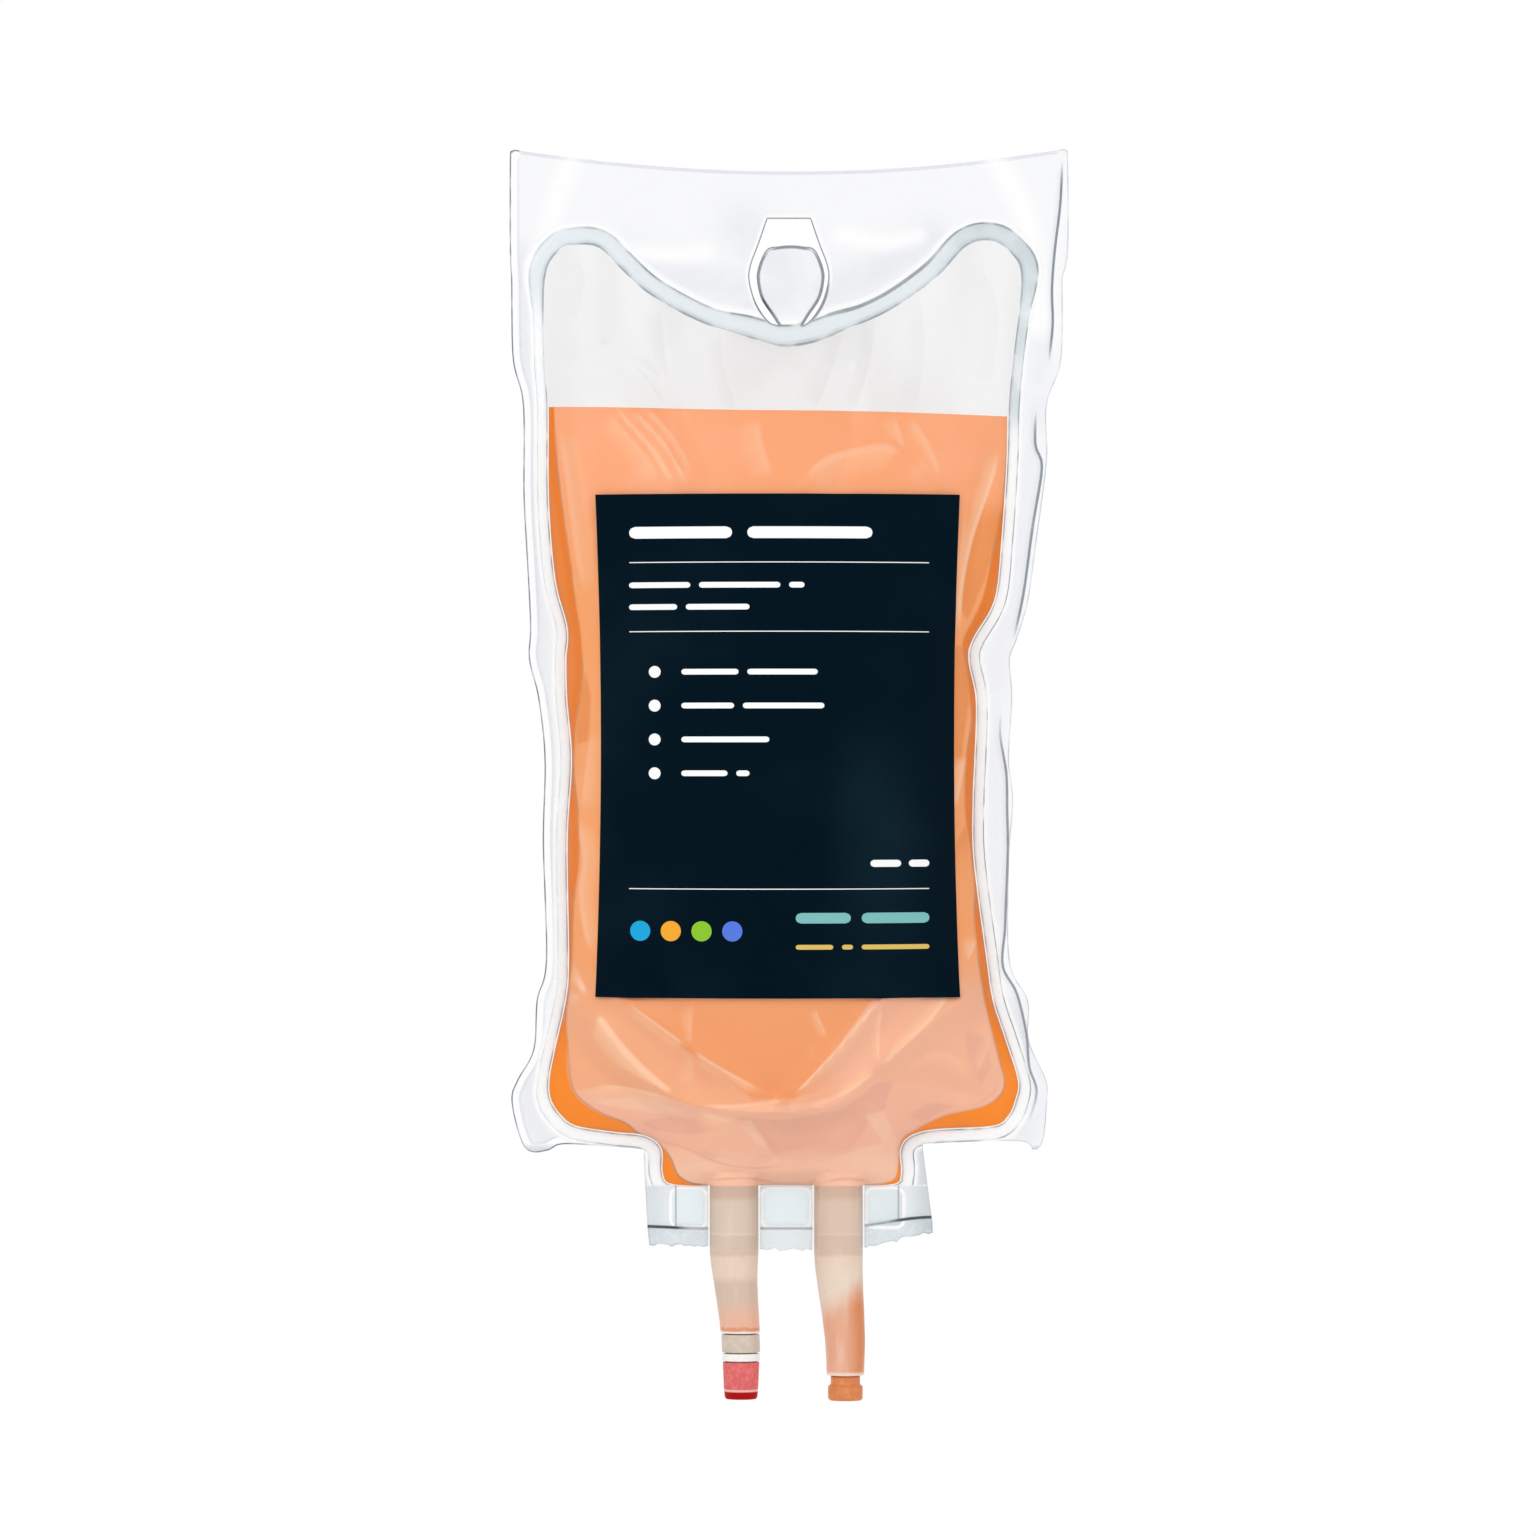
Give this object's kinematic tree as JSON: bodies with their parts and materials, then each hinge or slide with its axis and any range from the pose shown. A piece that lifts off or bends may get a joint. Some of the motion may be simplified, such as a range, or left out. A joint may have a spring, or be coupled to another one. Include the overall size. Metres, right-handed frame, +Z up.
{
  "type": "iv fluid bag",
  "caption": "Filled clear film infusion bag with hanger eyelet, dark label, injection port and capped outlet port.",
  "frame": {"origin": "middle of the hanger eyelet's top edge, midway between the two film sheets, where a hook carries the bag", "axes": "+Z up with the bag hanging, ports below; the labelled front faces -Y; +X to the right seen from the front"},
  "size_m": [0.1285, 0.0539, 0.2878],
  "materials": {
    "film": "clear, soft gloss",
    "solution": "clear orange liquid",
    "label": "satin print",
    "port_tube": "frosted, translucent",
    "site_body": "frosted, translucent",
    "site_ring": "satin",
    "stopper_rubber": "satin",
    "membrane": "satin",
    "cap": "satin"
  },
  "bodies": {
    "bag": {"front_film": "film", "back_film": "film", "solution": "solution", "label": "label", "injection_port_tube": "port_tube", "injection_site_body": "site_body", "injection_site_ring": "site_ring", "injection_site_stopper": "stopper_rubber", "outlet_port_tube": "port_tube", "outlet_port_membrane": "membrane"},
    "outlet_cap": {"outlet_port_cap": "cap"}
  },
  "joints": [
    {"name": "outlet_cap_pull", "type": "slide", "parent": "bag", "child": "outlet_cap", "axis": [0, 0, -1], "range_m": [0, 0.02]}
  ]
}
